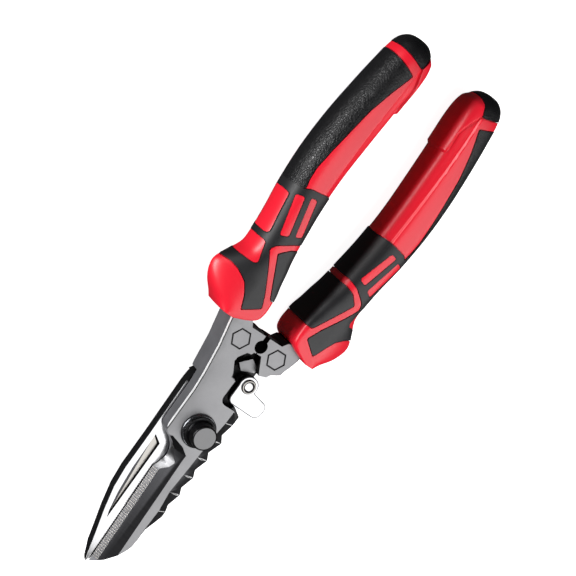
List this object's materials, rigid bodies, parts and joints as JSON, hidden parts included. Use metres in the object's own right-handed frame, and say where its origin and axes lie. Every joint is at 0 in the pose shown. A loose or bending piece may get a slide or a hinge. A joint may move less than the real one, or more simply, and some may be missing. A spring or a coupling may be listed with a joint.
{
  "type": "electrician's shear pliers",
  "caption": "Two-handled shear pliers with a serrated jaw, crimping nest, side lock lever, black pivot knob and two-colour moulded grips.",
  "frame": {"origin": "middle of the pliers' bounding box at its underside, where the grips and the bolt head rest", "axes": "+Y along the closed handles away from the jaws, +X towards the handle that belongs to the rear half, +Z out of the face that carries the knob"},
  "size_m": [0.068, 0.226, 0.0236],
  "materials": {
    "blasted_steel": "bead blasted satin grey with ground dark bevels",
    "polished_steel": "polished",
    "black_oxide": "black oxide, satin",
    "spring_steel": "drawn wire and stamped washers",
    "red_plastic": "semi-gloss moulded",
    "black_rubber": "fine leather grain, soft sheen"
  },
  "bodies": {
    "front": {"front_half": "blasted_steel", "pivot_bolt": "black_oxide", "head_washer": "spring_steel", "pivot_collar": "spring_steel", "pivot_knob": "black_oxide", "torsion_spring": "spring_steel", "left_grip_core": "red_plastic", "left_waist_sleeve": "black_rubber", "left_palm_pad": "black_rubber", "left_inner_panel": "black_rubber", "left_end_cap": "black_rubber"},
    "rear": {"rear_half": "polished_steel", "lever_spacer": "polished_steel", "lever_wave_washer": "spring_steel", "lever_rivet": "polished_steel", "right_grip_core": "red_plastic", "right_waist_sleeve": "black_rubber", "right_palm_pad": "black_rubber", "right_inner_panel": "black_rubber", "right_end_cap": "black_rubber"},
    "lever": {"lock_lever": "polished_steel"}
  },
  "joints": [
    {"name": "pivot", "type": "hinge", "parent": "front", "child": "rear", "pos_m": [0, -0.0485, 0.0103], "axis": [0, 0, -1], "range_deg": [0, 28]},
    {"name": "lock_lever_swing", "type": "hinge", "parent": "rear", "child": "lever", "pos_m": [0.0062, -0.025, 0.015], "axis": [0, 0, 1], "range_deg": [0, 35]}
  ]
}
